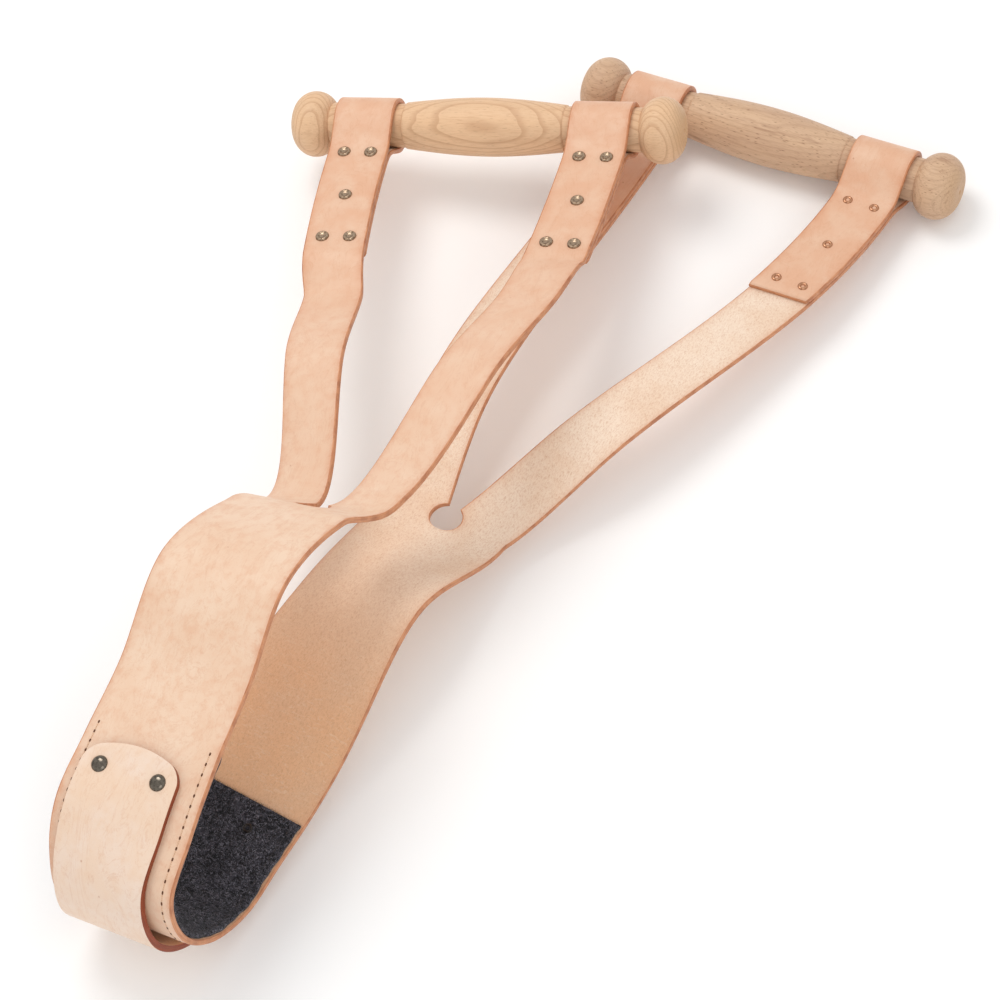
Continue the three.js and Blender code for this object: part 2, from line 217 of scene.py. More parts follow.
def frame_on(x, y, z=0):
    """Matrix that sets a rigid piece, modelled in millimetres, at a point of the pattern."""
    place, across, along, outwards = (v[0] for v in frames_at([y]))
    origin = (place + x * across + z * outwards + SHIFT) * MM
    matrix = Matrix.Identity(4)
    for column, axis in enumerate((across * MM, along * MM, outwards * MM, origin)):
        for row in range(3):
            matrix[row][column] = axis[row]
    return matrix


# ---- The outline of the band ----

def spread(y):
    """How far the straps have parted: 0 at the crotch hole, 1 at the handle."""
    k = np.maximum(0, (np.abs(y) - CROTCH) / (HANDLE_AT - CROTCH))
    return k + STRAP_BOW * k * (1 - k)


def strap_x(y, side, fraction):
    """x of a strap's inner edge (fraction 0), middle (0.5) or outer edge (1)."""
    y = np.asarray(y, float)
    at_band = SLIT / 2 + (BAND_WIDTH / 2 - SLIT / 2) * fraction
    at_handle = STRAP_SPREAD + STRAP_WIDTH * (fraction - 0.5)
    k = spread(y)
    return side * (at_band + (at_handle - at_band) * k) + np.where(y > 0, FRONT_SHIFT, BACK_SHIFT) * k**2


def on_strap(end, side, back, outwards):
    """Pattern coordinates of a point on a strap: back from the handle's axis, outwards from its middle."""
    y = HANDLE_AT - back
    slope = (strap_x(HANDLE_AT, 1, 0.5) - strap_x(y, 1, 0.5)) / back
    return float(strap_x(end * y, side, 0.5) + side * outwards), float(end * (y - slope * outwards))


# ---- Meshes ----

def add_object(name, data):
    thing = bpy.data.objects.new(name, data)
    bpy.context.scene.collection.objects.link(thing)
    return thing


def shade_smooth(mesh):
    mesh.polygons.foreach_set("use_smooth", [True] * len(mesh.polygons))


def make_piece(name, verts, faces, materials, face_material=None, **attributes):
    """A mesh object. Attributes are one number or one vector for each vertex."""
    mesh = bpy.data.meshes.new(name)
    mesh.from_pydata([tuple(v) for v in verts], [], faces)
    for key, values in attributes.items():
        values = np.asarray(values, np.float32)
        kind, field = ("FLOAT_VECTOR", "vector") if values.ndim == 2 else ("FLOAT", "value")
        mesh.attributes.new(key, kind, "POINT").data.foreach_set(field, values.ravel())
    for material in materials:
        mesh.materials.append(material)
    if face_material is not None:
        mesh.polygons.foreach_set("material_index", np.asarray(face_material, np.int32))
    shade_smooth(mesh)
    mesh.update()
    return add_object(name, mesh)


def apply_modifiers(piece):
    graph = bpy.context.evaluated_depsgraph_get()
    mesh = bpy.data.meshes.new_from_object(
        piece.evaluated_get(graph), preserve_all_data_layers=True, depsgraph=graph)
    piece.modifiers.clear()
    piece.data = mesh


def lathe(profile, segments):
    """Vertices and faces of a profile of (radius, height) turned about Z, from axis to axis."""
    verts, rings = [], []
    for radius, height in profile:
        count = 1 if radius == 0 else segments
        rings.append(range(len(verts), len(verts) + count))
        for i in range(count):
            angle = 2 * math.pi * i / segments
            verts.append((radius * math.cos(angle), radius * math.sin(angle), height))
    faces = []
    for low, high in zip(rings, rings[1:]):
        for i in range(segments):
            j = (i + 1) % segments
            corners = [low[i % len(low)], low[j % len(low)], high[j % len(high)], high[i % len(high)]]
            face = list(dict.fromkeys(corners))
            if len(face) > 2:
                faces.append(face)
    return np.array(verts), faces


def tube_faces(base, rings, sides):
    """Faces round a tube whose rings of vertices follow each other from `base`."""
    faces = []
    for low in range(base, base + (rings - 1) * sides, sides):
        high = low + sides
        for a in range(sides):
            b = (a + 1) % sides
            faces.append([high + a, high + b, low + b, low + a])
    return faces


# ---- Materials ----

class Paint:
    """A node material under construction: `self.shader` is its Principled shader."""

    def __init__(self, name, **sockets):
        self.material = bpy.data.materials.new(name)
        self.material.use_nodes = True
        self.tree = self.material.node_tree
        self.tree.nodes.clear()
        output = self.tree.nodes.new("ShaderNodeOutputMaterial")
        self.shader = self.tree.nodes.new("ShaderNodeBsdfPrincipled")
        self.tree.links.new(self.shader.outputs[0], output.inputs[0])
        for key, value in sockets.items():
            self.shader.inputs[key.replace("_", " ")].default_value = value

    def node(self, kind, inputs=None, **settings):
        node = self.tree.nodes.new("ShaderNode" + kind)
        for key, value in settings.items():
            setattr(node, key, value)
        for key, value in (inputs or {}).items():
            if isinstance(value, bpy.types.NodeSocket):
                self.tree.links.new(value, node.inputs[key])
            else:
                node.inputs[key].default_value = value
        return node

    def use(self, **sockets):
        for key, value in sockets.items():
            self.tree.links.new(value, self.shader.inputs[key.replace("_", " ")])

    def attribute(self, name, output="Vector"):
        return self.node("Attribute", attribute_name=name).outputs[output]

    def scaled(self, vector, scale):
        return self.node("VectorMath", {0: vector, 1: scale}, operation="MULTIPLY").outputs[0]

    def noise(self, vector, scale, detail, rough, distortion=0.0):
        inputs = {"Vector": vector, "Scale": scale, "Detail": detail}
        inputs.update({"Roughness": rough, "Distortion": distortion})
        return self.node("TexNoise", inputs).outputs["Fac"]

    def cells(self, vector, scale):
        return self.node("TexVoronoi", {"Vector": vector, "Scale": scale}).outputs["Distance"]

    def math(self, operation, a, b=0.0):
        return self.node("Math", {0: a, 1: b}, operation=operation).outputs[0]

    def times(self, a, b):
        return self.math("MULTIPLY", a, b)

    def span(self, value, low, high, to_low=0.0, to_high=1.0):
        inputs = {0: value, 1: low, 2: high, 3: to_low, 4: to_high}
        return self.node("MapRange", inputs, interpolation_type="SMOOTHSTEP").outputs[0]

    def mix(self, amount, a, b):
        return self.node("Mix", {0: amount, 6: a, 7: b}, data_type="RGBA").outputs[2]

    def part(self, vector, axis):
        """One of a vector's three numbers."""
        return self.node("SeparateXYZ", {0: vector}).outputs[axis]

    def bump(self, height, distance, strength, normal=None):
        inputs = {"Height": height, "Distance": distance, "Strength": strength}
        if normal is not None:
            inputs["Normal"] = normal
        return self.node("Bump", inputs).outputs[0]


def rgb(*screen):
    """A colour given as it looks on a screen, from 0 to 1, as linear light."""
    linear = [c / 12.92 if c <= 0.04045 else ((c + 0.055) / 1.055) ** 2.4 for c in screen]
    return (*linear, 1.0)


LEATHER_VEIN = rgb(0.80, 0.58, 0.44)
LEATHER_PORE = rgb(0.66, 0.45, 0.33)
LEATHER_SPOT = rgb(0.70, 0.46, 0.34)
LEATHER_RIM = rgb(0.80, 0.52, 0.36)


def grain_leather(name, base, warm, pale):
    """The smooth side of vegetable-tanned leather: cloudy tones, veins, pores and a darker rim."""
    paint = Paint(name, Roughness=0.5, Specular_IOR_Level=0.35, Sheen_Weight=0.08, Sheen_Roughness=0.5)
    pattern = paint.attribute("pattern")
    clouds = paint.noise(pattern, 0.022, 4.0, 0.6)
    mottle = paint.noise(pattern, 0.16, 4.0, 0.65)
    pores = paint.cells(pattern, 0.9)
    fibres = paint.noise(paint.scaled(pattern, (1.0, 0.25, 1.0)), 1.1, 3.0, 0.6)
    colour = paint.mix(paint.span(clouds, 0.36, 0.66), base, pale)
    far = paint.span(paint.math("ABSOLUTE", paint.part(pattern, 1)), 230.0, 640.0)
    patchy = paint.span(paint.noise(pattern, 0.045, 3.0, 0.6), 0.35, 0.65, 0.55, 1.0)
    colour = paint.mix(paint.times(far, patchy), colour, warm)
    colour = paint.mix(paint.span(mottle, 0.42, 0.74, 0.0, 0.5), colour, warm)
    veins = paint.noise(paint.scaled(pattern, (1.0, 0.35, 1.0)), 0.05, 5.0, 0.65, 2.5)
    off_vein = paint.math("ABSOLUTE", paint.math("SUBTRACT", veins, 0.5))
    colour = paint.mix(paint.span(off_vein, 0.0, 0.02, 0.22, 0.0), colour, LEATHER_VEIN)
    specks = paint.span(pores, 0.03, 0.22, 0.22, 0.0)
    colour = paint.mix(specks, colour, LEATHER_PORE)
    spots = paint.span(paint.cells(pattern, 0.055), 0.012, 0.05, 0.6, 0.0)
    colour = paint.mix(spots, colour, LEATHER_SPOT)
    uneven = paint.span(mottle, 0.3, 0.7, 0.35, 0.75)
    rim = paint.times(paint.attribute("edge", "Fac"), uneven)
    colour = paint.mix(rim, colour, LEATHER_RIM)
    height = paint.math("ADD", paint.span(pores, 0.0, 0.35), paint.times(fibres, 0.6))
    rough = paint.span(mottle, 0.3, 0.75, 0.42, 0.6)
    soft = paint.bump(mottle, 0.0006, 0.35)
    paint.use(Base_Color=colour, Roughness=rough, Normal=paint.bump(height, 0.00012, 0.5, soft))
    return paint.material


def flesh_leather(name):
    """The suede-like flesh side: pale, matt, with short fibres in all directions, and painted shade inside
    the cradle.
    """
    paint = Paint(name, Roughness=0.88, Specular_IOR_Level=0.18, Sheen_Weight=0.15, Sheen_Roughness=0.6)
    pattern = paint.attribute("pattern")
    clouds = paint.noise(pattern, 0.02, 4.0, 0.6)
    nap = paint.noise(paint.scaled(pattern, (1.0, 0.45, 1.0)), 1.3, 5.0, 0.7, 0.8)
    strands = paint.noise(paint.scaled(pattern, (0.35, 1.0, 1.0)), 0.5, 4.0, 0.7, 1.5)
    # Painted shade and light: the flesh is painted darker and warmer inside the cradle, for the shade and
    # warm bounce there, and paler along the back band, against the front layer's cast shadow.
    straps = paint.span(paint.math("ABSOLUTE", paint.part(pattern, 1)), 160.0, 300.0)
    colour = paint.mix(straps, rgb(0.93, 0.74, 0.58), rgb(0.96, 0.88, 0.80))
    colour = paint.mix(paint.span(clouds, 0.38, 0.7, 0.0, 0.5), colour, rgb(0.90, 0.76, 0.64))
    colour = paint.mix(paint.span(nap, 0.42, 0.72, 0.0, 0.6), colour, rgb(0.80, 0.60, 0.45))
    colour = paint.mix(paint.span(strands, 0.5, 0.75, 0.0, 0.35), colour, rgb(0.97, 0.89, 0.80))
    rim = paint.times(paint.attribute("edge", "Fac"), 0.5)
    colour = paint.mix(rim, colour, rgb(0.82, 0.56, 0.40))
    height = paint.math("ADD", nap, paint.times(strands, 0.7))
    paint.use(Base_Color=colour, Normal=paint.bump(height, 0.0004, 0.7))
    return paint.material


def cut_edge(name, core, shell):
    """A cut and burnished edge: layered fibres, darker at both faces."""
    paint = Paint(name, Roughness=0.42, Specular_IOR_Level=0.4)
    pattern = paint.attribute("pattern")
    layers = paint.noise(paint.scaled(pattern, (0.4, 0.08, 3.0)), 0.9, 4.0, 0.7, 0.4)
    blotches = paint.noise(pattern, 0.12, 3.0, 0.6)
    colour = paint.mix(paint.span(layers, 0.35, 0.68), core, shell)
    colour = paint.mix(paint.span(blotches, 0.4, 0.75, 0.0, 0.5), colour, rgb(0.55, 0.29, 0.17))
    paint.use(Base_Color=colour, Normal=paint.bump(layers, 0.0003, 0.6))
    return paint.material


def felt_cloth(name, dark, grey, fleck):
    """Charcoal wool felt: matted fibres in greys, with light flecks."""
    paint = Paint(name, Roughness=0.95, Specular_IOR_Level=0.12, Sheen_Weight=0.12, Sheen_Roughness=0.6)
    pattern = paint.attribute("pattern")
    matted = paint.noise(pattern, 0.34, 2.0, 0.5, 1.2)
    flecks = paint.noise(pattern, 0.75, 2.0, 0.5, 1.8)
    clouds = paint.noise(pattern, 0.07, 3.0, 0.6)
    colour = paint.mix(paint.span(matted, 0.40, 0.60), dark, grey)
    colour = paint.mix(paint.span(flecks, 0.52, 0.66, 0.0, 0.9), colour, fleck)
    colour = paint.mix(paint.span(clouds, 0.4, 0.7, 0.0, 0.4), colour, dark)
    height = paint.math("ADD", matted, paint.times(flecks, 0.5))
    paint.use(Base_Color=colour, Normal=paint.bump(height, 0.0014, 1.0))
    return paint.material


def beech(name, light, dark, core, bow, rings_seen, flecks_seen):
    """Turned beech: growth rings about a core beside the handle's axis, and short brown rays.

    `bow` bends the core, which turns the rings into ovals where they come to the surface.
    """
    paint = Paint(name, Roughness=0.48, Specular_IOR_Level=0.4)
    pattern = paint.attribute("pattern")
    wander = paint.noise(paint.scaled(pattern, (0.25, 1.0, 1.0)), 0.03, 2.0, 0.5)
    moved = paint.node("VectorMath", {0: pattern, 1: core}, operation="SUBTRACT").outputs[0]
    from_core = paint.node("SeparateXYZ", {0: moved}).outputs
    along = paint.times(from_core[0], from_core[0])
    depth = paint.math("ADD", from_core[2], paint.times(along, bow))
    square = paint.times(from_core[1], from_core[1])
    radius = paint.math("SQRT", paint.math("ADD", square, paint.times(depth, depth)))
    radius = paint.math("ADD", radius, paint.times(wander, 9.0))
    year = paint.math("FRACT", paint.times(radius, 0.42))
    late = paint.span(year, 0.55, 0.97)
    late = paint.times(late, paint.span(year, 0.97, 1.0, 1.0, 0.0))
    fibre = paint.noise(paint.scaled(pattern, (0.06, 1.0, 1.0)), 1.6, 5.0, 0.7)
    rays = paint.cells(paint.scaled(pattern, (0.16, 1.0, 1.0)), 0.85)
    clouds = paint.noise(paint.scaled(pattern, (0.3, 1.0, 1.0)), 0.05, 3.0, 0.6)
    colour = paint.mix(paint.span(clouds, 0.35, 0.7, 0.0, 0.6), light, rgb(0.85, 0.71, 0.57))
    colour = paint.mix(paint.times(late, rings_seen), colour, dark)
    colour = paint.mix(paint.span(fibre, 0.45, 0.75, 0.0, 0.5), colour, dark)
    streaks = paint.noise(paint.scaled(pattern, (0.12, 1.0, 1.0)), 0.16, 3.0, 0.6)
    colour = paint.mix(paint.span(streaks, 0.55, 0.72, 0.0, flecks_seen * 0.6), colour, dark)
    colour = paint.mix(paint.span(rays, 0.02, 0.25, flecks_seen, 0.0), colour, rgb(0.50, 0.34, 0.22))
    handle_end = HANDLE_LENGTH / 2
    from_middle = paint.math("ABSOLUTE", paint.part(pattern, 0))
    end_grain = paint.span(from_middle, handle_end - 8.0, handle_end, 0.0, 0.35)
    colour = paint.mix(end_grain, colour, rgb(0.72, 0.56, 0.38))
    height = paint.math("ADD", paint.times(late, 0.5), fibre)
    paint.use(Base_Color=colour, Roughness=paint.span(fibre, 0.3, 0.8, 0.42, 0.62),
              Normal=paint.bump(height, 0.00018, 0.6))
    return paint.material


def plated(name, clean, dull, rough):
    """Plated metal with a little tarnish and fine wear."""
    paint = Paint(name, Metallic=1.0)
    pattern = paint.attribute("pattern")
    tarnish = paint.noise(pattern, 0.5, 4.0, 0.7)
    scratches = paint.noise(paint.scaled(pattern, (3.0, 0.4, 1.0)), 1.4, 3.0, 0.6)
    colour = paint.mix(paint.span(tarnish, 0.4, 0.72), clean, dull)
    paint.use(Base_Color=colour, Roughness=paint.span(tarnish, 0.3, 0.8, rough, rough + 0.25),
              Normal=paint.bump(scratches, 0.00004, 0.5))
    return paint.material


def waxed_thread(name, light, dark):
    """Twisted thread: slanting plies along each stitch."""
    paint = Paint(name, Roughness=0.7, Specular_IOR_Level=0.3)
    pattern = paint.attribute("pattern")
    twist = {"Vector": pattern, "Scale": 0.55, "Distortion": 1.0}
    plies = paint.node("TexWave", twist, bands_direction="DIAGONAL").outputs["Fac"]
    fuzz = paint.noise(pattern, 2.5, 3.0, 0.6)
    colour = paint.mix(plies, dark, light)
    colour = paint.mix(paint.span(fuzz, 0.4, 0.7, 0.0, 0.4), colour, dark)
    paint.use(Base_Color=colour, Normal=paint.bump(plies, 0.0003, 0.7))
    return paint.material


TAN = rgb(0.90, 0.765, 0.655)
TAN_WARM = rgb(0.87, 0.68, 0.555)
TAN_PALE = rgb(0.915, 0.80, 0.70)
EDGE_CORE = rgb(0.84, 0.60, 0.44)
EDGE_SHELL = rgb(0.72, 0.45, 0.30)
FELT_TONES = (rgb(0.06, 0.055, 0.07), rgb(0.24, 0.23, 0.26), rgb(0.50, 0.49, 0.53))
# The loose fibres are painted lighter than the felt they stand off: a painted highlight along the felt's
# rim and face.
FIBRE_HIGHLIGHT_TONES = (rgb(0.14, 0.13, 0.15), rgb(0.42, 0.41, 0.45), rgb(0.66, 0.65, 0.69))

MATERIALS = {
    "grain": grain_leather("leather_grain", TAN, TAN_WARM, TAN_PALE),
    "flesh": flesh_leather("leather_flesh"),
    "edge": cut_edge("leather_cut_edge", EDGE_CORE, EDGE_SHELL),
    "patch_grain": grain_leather("patch_grain", TAN_PALE, TAN, rgb(0.92, 0.83, 0.76)),
    "patch_edge": cut_edge("patch_burnished_edge", rgb(0.62, 0.28, 0.14), rgb(0.45, 0.18, 0.09)),
    "felt": felt_cloth("felt_charcoal", *FELT_TONES),
    # Painted highlight: the loose fibres take the lighter tones.
    "fuzz": felt_cloth("felt_loose_fibres", *FIBRE_HIGHLIGHT_TONES),
    "front_beech": beech("beech_front", rgb(0.89, 0.735, 0.58), rgb(0.73, 0.545, 0.40),
                         core=(-9.0, 13.0, -20.0), bow=-0.0012, rings_seen=0.5, flecks_seen=0.35),
    "back_beech": beech("beech_back", rgb(0.795, 0.655, 0.535), rgb(0.62, 0.46, 0.35),
                        core=(-60.0, 9.0, 5.0), bow=0.0002, rings_seen=0.22, flecks_seen=1.0),
    "bronze": plated("antique_bronze", rgb(0.68, 0.59, 0.50), rgb(0.38, 0.30, 0.23), 0.24),
    "copper": plated("copper_lip", rgb(0.80, 0.60, 0.47), rgb(0.55, 0.38, 0.28), 0.3),
    # The rolled rings on the felt side are painted near black, as painted shade of the recess that they sit
    # in.
    "lip_in_painted_shade": plated("lip_painted_as_hole_shade", rgb(0.30, 0.28, 0.27), rgb(0.14, 0.13, 0.13), 0.25),
    # The domed caps' nickel, clean and tarnished, is painted darker than the metal is: a painted reflection
    # of dark surroundings.
    "nickel": plated("nickel_painted_dark_reflection", rgb(0.46, 0.43, 0.39), rgb(0.20, 0.18, 0.16), 0.06),
    "thread": waxed_thread("thread_tan", rgb(0.93, 0.79, 0.67), rgb(0.83, 0.66, 0.52)),
    "dark_thread": waxed_thread("thread_on_felt", rgb(0.34, 0.32, 0.33), rgb(0.16, 0.15, 0.16)),
    # Painted shade: a dark brown for the shadow in the needle holes.
    "hole": waxed_thread("needle_hole_painted_shade", rgb(0.52, 0.33, 0.21), rgb(0.26, 0.14, 0.08)),
}


# ---- The leather band ----

LANES = 16                   # facets across each strap's faces
ROUND_STEPS = 3              # facets in each rounded edge
HOLE_STEPS = 18              # rows across the hole at the crotch
LOOP_POINTS = 41             # round a handle's neck
PLY_POINTS = 34              # along each ply of the doubled end
THROAT_POINTS = 8            # from where the plies part to the neck
EASINGS = 6
CUT_END_BEVEL = 0.5
RIVET_DENT = 0.45
RIVET_DENT_REACH = 6
RIM_REACH = 2.2              # how far the edge's darker tone reaches in
SEAM_TOLERANCE = 0.01
MERGE_WITHIN = 1e-6          # in metres
GRAIN_SIDE, FLESH_SIDE, CUT_SIDE = 0, 1, 2


def dimple(away, depth, reach):
    return depth * np.exp(-((away / reach) ** 2))


def loop_line(radius, face_out):
    """The line round a handle's neck as [u towards the handle, v outwards], and the plies' last points."""
    centre = np.array([0, -HANDLE_DROP])
    drop = LEATHER + PLY_GAP
    upper = np.array([-LOOP_OPENS, face_out])
    lower = np.array([-LOOP_OPENS, -drop - face_out])

    def touch(point, turn):
        offset = point - centre
        return math.atan2(offset[1], offset[0]) + turn * math.acos(radius / np.linalg.norm(offset))

    start, end = touch(upper, -1), touch(lower, 1)
    start += 2 * math.pi if start < 0 else 0
    end -= 2 * math.pi if end > 0 else 0
    angles = np.linspace(start, end, LOOP_POINTS)
    circle = centre + radius * np.stack([np.cos(angles), np.sin(angles)], 1)
    return upper, circle, lower


def loop_rows(face_out):
    """One face of the doubled end: to the loop, round it, and back to the cut end."""
    radius = NECK_RADIUS + NECK_CLEARANCE + LEATHER / 2 + face_out
    upper, circle, lower = loop_line(radius, face_out)
    return np.vstack([
        np.linspace((-DOUBLED, face_out), upper, PLY_POINTS)[1:-1],
        np.linspace(upper, circle[0], THROAT_POINTS)[:-1],
        circle,
        np.linspace(circle[-1], lower, THROAT_POINTS)[1:],
        np.linspace(lower, (-RETURNED, lower[1]), PLY_POINTS)[1:],
    ])


def softened(rows):
    """Eases the corners in a line of points, where leather would bend gently."""
    for _ in range(EASINGS):
        rows[1:-1] = 0.25 * rows[:-2] + 0.5 * rows[1:-1] + 0.25 * rows[2:]
    return rows


def band_rows(near):
    """Distances from the band's middle of the bent rows, with close rows round the crotch hole."""
    hole = CROTCH - CROTCH_HOLE_RADIUS * np.cos(np.linspace(0, math.pi, HOLE_STEPS))
    before = np.arange(near, hole[0] - ROW_STEP / 2, ROW_STEP)
    after = np.linspace(hole[-1], SINGLE, int((SINGLE - hole[-1]) / ROW_STEP))[1:]
    return np.concatenate([before, hole, after])


def inner_edge(y, end, side):
    """x of a strap's inner edge, which follows the crotch hole before it follows the slit."""
    off_hole = np.clip(CROTCH_HOLE_RADIUS**2 - (y - CROTCH) ** 2, 0, None)
    slit = np.where(y > CROTCH, side * strap_x(end * y, side, 0), 0)
    return side * np.maximum(np.sqrt(off_hole), slit)


def rivet_dents(end, points):
    """How deep the rivets have pulled the leather's faces in, at each point of the pattern."""
    dent = np.zeros(len(points))
    for _, side in SIDES:
        for back, outwards in RIVET_ROWS:
            x, y = on_strap(end, side, back, outwards)
            away = np.hypot(points[:, 0] - x, points[:, 1] - y)
            dent += dimple(away, RIVET_DENT, RIVET_DENT_REACH)
    return dent


def strap_lines(near):
    """The flesh and the grain face as lines of [distance from the band's middle, outwards]."""
    band = band_rows(near)
    for face_out in (-LEATHER / 2, LEATHER / 2):
        loop = softened(loop_rows(face_out))
        loop[:, 0] += HANDLE_AT
        yield np.vstack([np.stack([band, np.full(len(band), face_out)], 1), loop])


def strap_section():
    """A strap's outline from its inner top: (part of the width, rounded edge, angle, which face)."""
    lanes = np.linspace(0, 1, LANES + 1)
    quarter = np.linspace(0, math.pi / 2, ROUND_STEPS + 1)
    section = [(f, 0, 0, 1) for f in lanes]
    section += [(1, 1, a, 1) for a in quarter[1:]]
    section += [(1, 1, a, -1) for a in quarter[::-1][:-1]]
    section += [(f, 0, 0, -1) for f in lanes[::-1]]
    section += [(0, -1, a, -1) for a in quarter[1:]]
    section += [(0, -1, a, 1) for a in quarter[::-1][:-1]]
    return section


def strap_faces(count, width, undivided, flip):
    """Faces and their materials. The rows before `undivided` have no inner edge."""
    wall = 2 * ROUND_STEPS
    outer_wall = range(LANES, LANES + wall + 1)
    inner_wall = range(width - wall - 1, width)
    faces, paint = [], []
    for r in range(count - 1):
        for k in range(width):
            if k in inner_wall and r < undivided:
                continue
            j = (k + 1) % width
            face = [r * width + k, r * width + j, (r + 1) * width + j, (r + 1) * width + k]
            faces.append(face if flip else face[::-1])
            if k in outer_wall or k in inner_wall:
                paint.append(CUT_SIDE)
            else:
                paint.append(GRAIN_SIDE if k < LANES else FLESH_SIDE)
    cut_end = [(count - 1) * width + k for k in range(width)]
    faces.append(cut_end if flip else cut_end[::-1])
    paint.append(CUT_SIDE)
    return faces, paint


def half_band(end, near, side):
    """One side's strap from `near` on the band to the cut end of its returned ply.

    Returns vertices in the pattern, faces and their materials, and for each vertex its place along the
    leather and how close it is to an edge.
    """
    flesh, grain = strap_lines(near)
    middle = (flesh + grain) / 2
    mean_y = middle[:, 0]
    count = len(middle)
    band = band_rows(near)
    undivided = int(np.argmin(np.abs(band - (CROTCH - CROTCH_HOLE_RADIUS))))
    divided = np.arange(count) > undivided
    inner = np.where(divided, inner_edge(mean_y, end, side), 0.0)
    outer = strap_x(end * mean_y, side, 1)
    inner_round = np.where(divided, EDGE_ROUND, 0.0)
    shrink = np.zeros(count)
    shrink[-1] = CUT_END_BEVEL

    section = strap_section()
    width = len(section)
    points = np.zeros((count, width, 3))
    level = np.zeros((count, width))
    near_edge = np.zeros((count, width))
    start = inner + side * (inner_round + shrink)
    finish = outer - side * (EDGE_ROUND + shrink)
    for k, (fraction, edge, angle, top) in enumerate(section):
        x = start + (finish - start) * fraction
        drop = np.zeros(count)
        if edge:
            rounding = EDGE_ROUND if edge == 1 else inner_round
            x = x + edge * side * rounding * math.sin(angle)
            drop = rounding * (1 - math.cos(angle))
        level[:, k] = top * (1 - (drop + shrink) / (LEATHER / 2))
        blend = ((level[:, k] + 1) / 2)[:, None]
        points[:, k, 0] = x
        points[:, k, 1:] = flesh * (1 - blend) + grain * blend
        to_inner = np.where(divided, np.abs(x - inner), np.inf)
        near_edge[:, k] = np.exp(-np.minimum(np.abs(outer - x), to_inner) / RIM_REACH)
    points[:, :, 1] *= end

    dents = rivet_dents(end, points.reshape(-1, 3)).reshape(count, width)
    on_face = np.array([edge == 0 for _, edge, _, _ in section])
    turned_over = np.arange(count) > np.argmax(mean_y)
    sign = np.where(turned_over, -1.0, 1.0)[:, None] * np.sign(level)
    points[:, :, 2] -= np.where((mean_y > SINGLE)[:, None] & on_face, dents * sign, 0)

    pattern = np.zeros_like(points)
    pattern[:, :, 0] = points[:, :, 0]
    pattern[:, :, 1] = end * (band[0] + travelled(middle))[:, None]
    pattern[:, :, 2] = level * LEATHER / 2
    faces, paint = strap_faces(count, width, undivided, flip=side * end > 0)
    return points.reshape(-1, 3), faces, paint, pattern.reshape(-1, 3), near_edge.ravel()


def leather(name, end, near):
    """The band's leather from `near` to the loops at one end, both sides joined down the middle."""
    halves = [half_band(end, near, side) for _, side in SIDES]
    verts, faces, paint, pattern, edge = zip(*halves)
    faces = faces[0] + [[i + len(verts[0]) for i in face] for face in faces[1]]
    materials = [MATERIALS["grain"], MATERIALS["flesh"], MATERIALS["edge"]]
    piece = make_piece(name, bent(np.vstack(verts)), faces, materials, paint[0] + paint[1],
                       pattern=np.vstack(pattern), edge=np.concatenate(edge))
    weld = piece.modifiers.new("weld", "WELD")
    weld.merge_threshold = MERGE_WITHIN
    apply_modifiers(piece)
    return piece


def match_seam(pieces, at_y):
    """Gives the leather pieces the same normals where they meet, so that the seam doesn't show."""
    _, across, _, outwards = (v[0] for v in frames_at([at_y]))
    for piece in pieces:
        mesh = piece.data
        pattern = np.zeros(len(mesh.vertices) * 3, np.float32)
        mesh.attributes["pattern"].data.foreach_get("vector", pattern)
        pattern = pattern.reshape(-1, 3)
        normals = np.zeros((len(mesh.vertices), 3))
        for i in np.nonzero(np.abs(pattern[:, 1] - at_y) < SEAM_TOLERANCE)[0]:
            x, _, depth = pattern[i]
            out = np.sign(depth) * outwards
            over = (abs(x) - (BAND_WIDTH / 2 - EDGE_ROUND)) / EDGE_ROUND
            if over > SEAM_TOLERANCE:
                lean = math.asin(min(1.0, over))
                out = out * math.cos(lean) + math.copysign(math.sin(lean), x) * across
            normals[i] = out
        mesh.normals_split_custom_set_from_vertices([tuple(n) for n in normals])


cradle_leather = leather("cradle_leather", -1, -SEAM_AT)
front_skin = leather("front_leather_band", 1, SEAM_AT)
match_seam([cradle_leather, front_skin], SEAM_AT)
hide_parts("cradle_and_back_leather")
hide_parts("front_leather")
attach(cradle_leather, "cradle")
bend_from, bend_to = (tuple(place) for place in bent([[0, BEND_START, 0], [0, BEND_END, 0]]))
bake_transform(front_skin)
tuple(bend_from)
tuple(bend_to)


# ---- Flat pieces on the cradle ----

BEVEL_SEGMENTS = 3
BEVEL_OVER = math.radians(50)
OUTER_FACE = LEATHER / 2 + FACE_AIR
INNER_FACE = -OUTER_FACE


